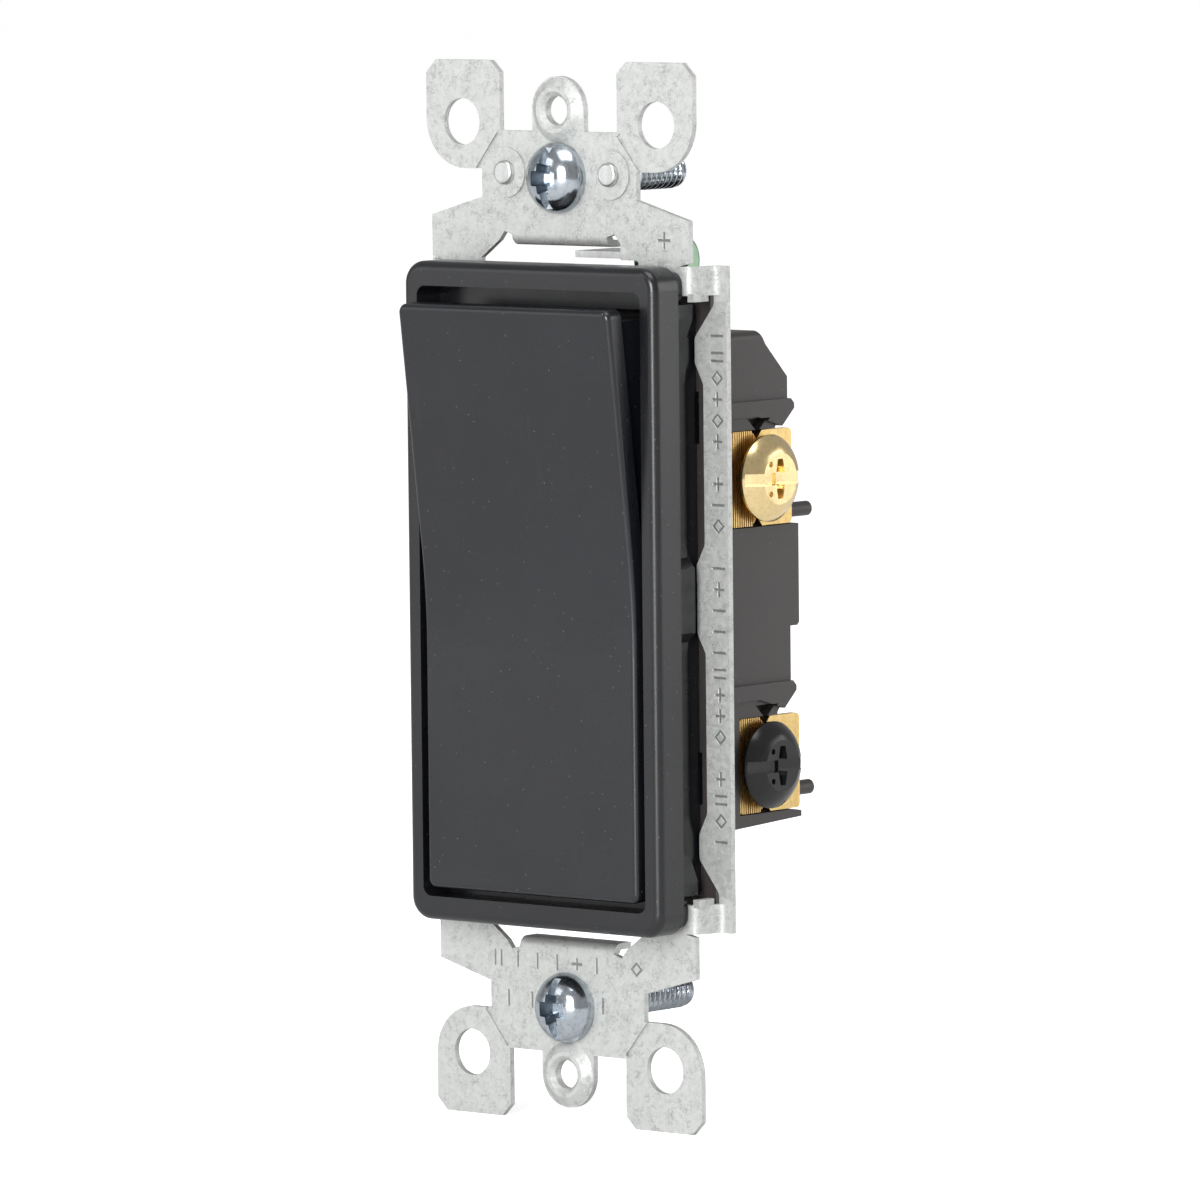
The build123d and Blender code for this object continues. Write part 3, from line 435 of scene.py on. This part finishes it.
def galvanized_sheet(name):
    """Hot-dip zinc sheet: patchy flakes, grey pits, and marks pressed into its front, darkened
    with painted shade.
    """
    material, tree, shader = new_material(name)
    zinc = put(tree, "ShaderNodeGroup", node_tree=SPANGLE)
    flake, pit = zinc.outputs["Flake"], zinc.outputs["Pit"]
    marks = put(tree, "ShaderNodeGroup", node_tree=STAMPS).outputs["Mask"]
    toned = blend_colours(tree, flake, (0.43, 0.44, 0.43, 1), (0.50, 0.51, 0.495, 1))
    pitted = layer(tree, pit, 0.55, toned, (0.15, 0.153, 0.15, 1))
    lit = layer(tree, zinc.outputs["Bright"], 0.35, pitted, (0.64, 0.65, 0.64, 1))
    # Painted shade: the pressed marks are darkened in colour as if shade fell in their grooves;
    # their dent is the bump below.
    marks_with_painted_shade = layer(tree, marks, 0.7, lit, (0.09, 0.093, 0.09, 1))
    tree.links.new(marks_with_painted_shade, shader.inputs["Base Color"])
    shader.inputs["Metallic"].default_value = 0.4
    gloss = spread(tree, flake, 0.0, 1.0, 0.36, 0.56)
    dulled = calc(tree, "ADD", gloss, calc(tree, "MULTIPLY", pit, 0.12))
    tree.links.new(dulled, shader.inputs["Roughness"])
    pressed = weighted(tree, flake, 0.12, marks, -1.0)
    height = calc(tree, "SUBTRACT", pressed, calc(tree, "MULTIPLY", pit, 0.1))
    roughen(tree, shader, height, 0.8, PRESSED_BUMP)
    return material


# Each plastic has a colour and a paler cloud, each metal a colour and the dark of its specks.
FINISH = {
    "galvanized": galvanized_sheet("galvanized sheet"),
    "bright_steel": metal(
        "plated bracket steel", (0.62, 0.63, 0.62, 1), (0.3, 0.3, 0.3, 1),
        roughness=0.36, specks=0.4, streaks=0.3,
    ),
    "green_screw": metal(
        "green tinted zinc", (0.26, 0.38, 0.27, 1), (0.09, 0.15, 0.10, 1),
        roughness=0.3, specks=0.5, streaks=0.3,
    ),
    "bezel": plastic(
        "black bezel", (0.0052, 0.0055, 0.0070, 1), (0.0084, 0.0088, 0.0108, 1),
        roughness=0.27, grain=8000.0, depth=0.06,
    ),
    "rocker": plastic(
        "black rocker", (0.0068, 0.0073, 0.0098, 1), (0.0106, 0.0114, 0.0146, 1),
        roughness=0.27, grain=8000.0, depth=0.1,
    ),
    "body": plastic(
        "dark moulded body", (0.029, 0.0252, 0.0242, 1), (0.050, 0.0435, 0.0418, 1),
        roughness=0.46, grain=5000.0, depth=0.4,
    ),
    "fibre": plastic(
        "pressed fibre", (0.62, 0.58, 0.48, 1), (0.72, 0.69, 0.60, 1),
        roughness=0.7, grain=3000.0, depth=0.6,
    ),
    "nylon": plastic(
        "natural nylon", (0.74, 0.72, 0.66, 1), (0.80, 0.79, 0.74, 1),
        roughness=0.4, grain=6000.0, depth=0.2,
    ),
    "terminal": metal(
        "terminal brass", (0.70, 0.50, 0.21, 1), (0.34, 0.24, 0.07, 1),
        roughness=0.3, specks=0.45, streaks=0.4,
    ),
    "screw_brass": metal(
        "screw brass", (0.84, 0.66, 0.35, 1), (0.52, 0.35, 0.15, 1),
        roughness=0.2, specks=0.4, streaks=0.2,
    ),
    "black_screw": metal(
        "blackened steel", (0.014, 0.013, 0.013, 1), (0.007, 0.0065, 0.0065, 1),
        roughness=0.2, metallic=0.3, specks=0.5, streaks=0.2,
    ),
    "zinc": metal(
        "blued zinc plate", (0.47, 0.51, 0.55, 1), (0.14, 0.18, 0.23, 1),
        roughness=0.17, specks=0.5, streaks=0.25, scale=2000.0,
    ),
    "copper": metal(
        "spring copper", (0.78, 0.46, 0.30, 1), (0.45, 0.22, 0.12, 1), roughness=0.25
    ),
    "silver": metal(
        "contact silver", (0.82, 0.82, 0.80, 1), (0.45, 0.45, 0.44, 1), roughness=0.22
    ),
}

FINISH_OF = {
    "mounting_strap": "galvanized",
    "ground_bracket": "bright_steel",
    "ground_bracket_rivets": "bright_steel",
    "ground_screw": "green_screw",
    "screw_retainers": "fibre",
    "front_frame": "bezel",
    "rocker": "rocker",
    "rear_body": "body",
    "detent_spring": "bright_steel",
    "detent_plunger": "nylon",
    "contact_arm": "copper",
    "arm_contacts": "silver",
    "fixed_contacts": "silver",
    "traveler_terminal_right": "terminal",
    "traveler_terminal_left": "terminal",
    "common_terminal": "terminal",
    "traveler_screw_right": "screw_brass",
    "traveler_screw_left": "screw_brass",
    "common_screw": "black_screw",
    "mounting_screw_top": "zinc",
    "mounting_screw_bottom": "zinc",
}


def paint(piece, material):
    """Gives the whole piece one material."""
    piece.data.materials.clear()
    piece.data.materials.append(material)


for node_name, finish_name in FINISH_OF.items():
    paint(nodes[node_name], FINISH[finish_name])


# ---- box screws with real threads -------------------------------------------------------
for place, height in (("top", BOX_SCREW_Z), ("bottom", -BOX_SCREW_Z)):
    node_name = f"mounting_screw_{place}"
    head = head_of(node_name, f"box_screw_head_{place}", HEAD_CUT)
    shank = threaded_shank(f"box_screw_thread_{place}", height)
    for piece in (head, shank):
        paint(piece, FINISH["zinc"])
        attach(piece, f"box_screw_{place}")
        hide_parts(node_name)


# ---- studio -----------------------------------------------------------------------------
FLOOR_GLOW = 0.62                # lifts the floor to white where the camera sees it directly
FLOOR_REACH = 3.0
FLOOR_THICK = 0.01
AMBIENT = 0.42                   # what the white surroundings give to the surfaces


def area_light(name, place, size, power):
    """Soft rectangular light at place, facing the middle of the switch."""
    light = bpy.data.lights.new(name, "AREA")
    light.shape = "RECTANGLE"
    light.size, light.size_y = size
    light.energy = power
    holder = bpy.data.objects.new(name, light)
    turned = (-Vector(place)).to_track_quat("-Z", "Y").to_matrix().to_4x4()
    holder.matrix_world = Matrix.Translation(place) @ turned
    bpy.context.scene.collection.objects.link(holder)


def studio_floor():
    """Large pale floor that the switch stands on, closed into a thin slab."""
    top = cad_low[2]
    x = np.array([-1, 1, 1, -1]) * FLOOR_REACH
    y = np.array([-1, -1, 1, 1]) * FLOOR_REACH
    ring = np.stack([x, y], axis=-1)
    points = [(*p, top) for p in ring] + [(*p, top - FLOOR_THICK) for p in ring]
    sides = [(j, (j + 1) % 4, (j + 1) % 4 + 4, j + 4) for j in range(4)]
    mesh = bpy.data.meshes.new("studio_floor")
    mesh.from_pydata(points, [], [(3, 2, 1, 0), (4, 5, 6, 7)] + [s[::-1] for s in sides])
    work = bmesh.new()
    work.from_mesh(mesh)
    bmesh.ops.recalc_face_normals(work, faces=work.faces)
    work.to_mesh(mesh)
    work.free()
    floor = bpy.data.objects.new("studio_floor", mesh)
    bpy.context.scene.collection.objects.link(floor)
    material, tree, shader = new_material("pale floor")
    shader.inputs["Base Color"].default_value = (0.86, 0.86, 0.86, 1)
    shader.inputs["Roughness"].default_value = 0.8
    shader.inputs["Emission Color"].default_value = (1.0, 1.0, 1.0, 1)
    seen = put(tree, "ShaderNodeLightPath").outputs["Is Camera Ray"]
    tree.links.new(calc(tree, "MULTIPLY", seen, FLOOR_GLOW), shader.inputs["Emission Strength"])
    paint(floor, material)


def studio_world():
    """White to the eye, but dim to the surfaces, so that the soft panels shape the gloss."""
    world = bpy.data.worlds.new("studio")
    world.use_nodes = True
    tree = world.node_tree
    background = tree.nodes["Background"]
    background.inputs["Color"].default_value = (1.0, 1.0, 1.0, 1)
    seen = put(tree, "ShaderNodeLightPath").outputs["Is Camera Ray"]
    strength = spread(tree, seen, 0.0, 1.0, AMBIENT, 1.0)
    tree.links.new(strength, background.inputs["Strength"])
    return world


studio_floor()
bpy.context.scene.world = studio_world()
bpy.context.scene.view_settings.view_transform = "Standard"

# Place and size in metres, power in watts.
area_light("front_left_panel", (-1.0, -1.1, 0.25), (0.8, 0.8), 2.9)
area_light("rear_right_panel", (1.0, 0.95, 0.1), (1.0, 1.2), 8.0)
area_light("key", (-0.45, -0.95, 0.75), (0.45, 0.45), 1.2)
area_light("top", (0.25, -0.2, 1.1), (0.7, 0.7), 6.0)
area_light("front_right_fill", (0.5, -1.2, 0.25), (0.45, 0.9), 21.0)

# ---- camera -----------------------------------------------------------------------------
AZIMUTH, ELEVATION, ROLL = radians(40.22), radians(4.81), radians(-0.59)
DISTANCE = 1.007
LENS, SENSOR = 302.5, 36.0       # millimetres
AIM = Vector((0.00429, 0.0, -0.00044))

back = Vector((sin(AZIMUTH) * cos(ELEVATION), -cos(AZIMUTH) * cos(ELEVATION), sin(ELEVATION)))
level = (-back).cross(Vector((0, 0, 1))).normalized()
upright = level.cross(-back)
right = cos(ROLL) * level + sin(ROLL) * upright
up = cos(ROLL) * upright - sin(ROLL) * level
lens = bpy.data.cameras.new("camera")
lens.sensor_width = SENSOR
lens.lens = LENS
lens.clip_start = 0.01
lens.clip_end = 20
camera = bpy.data.objects.new("camera", lens)
axes = Matrix((right, up, back)).transposed().to_4x4()
camera.matrix_world = Matrix.Translation(AIM + back * DISTANCE) @ axes
bpy.context.scene.collection.objects.link(camera)
bpy.context.scene.camera = camera

bpy.context.view_layer.update()
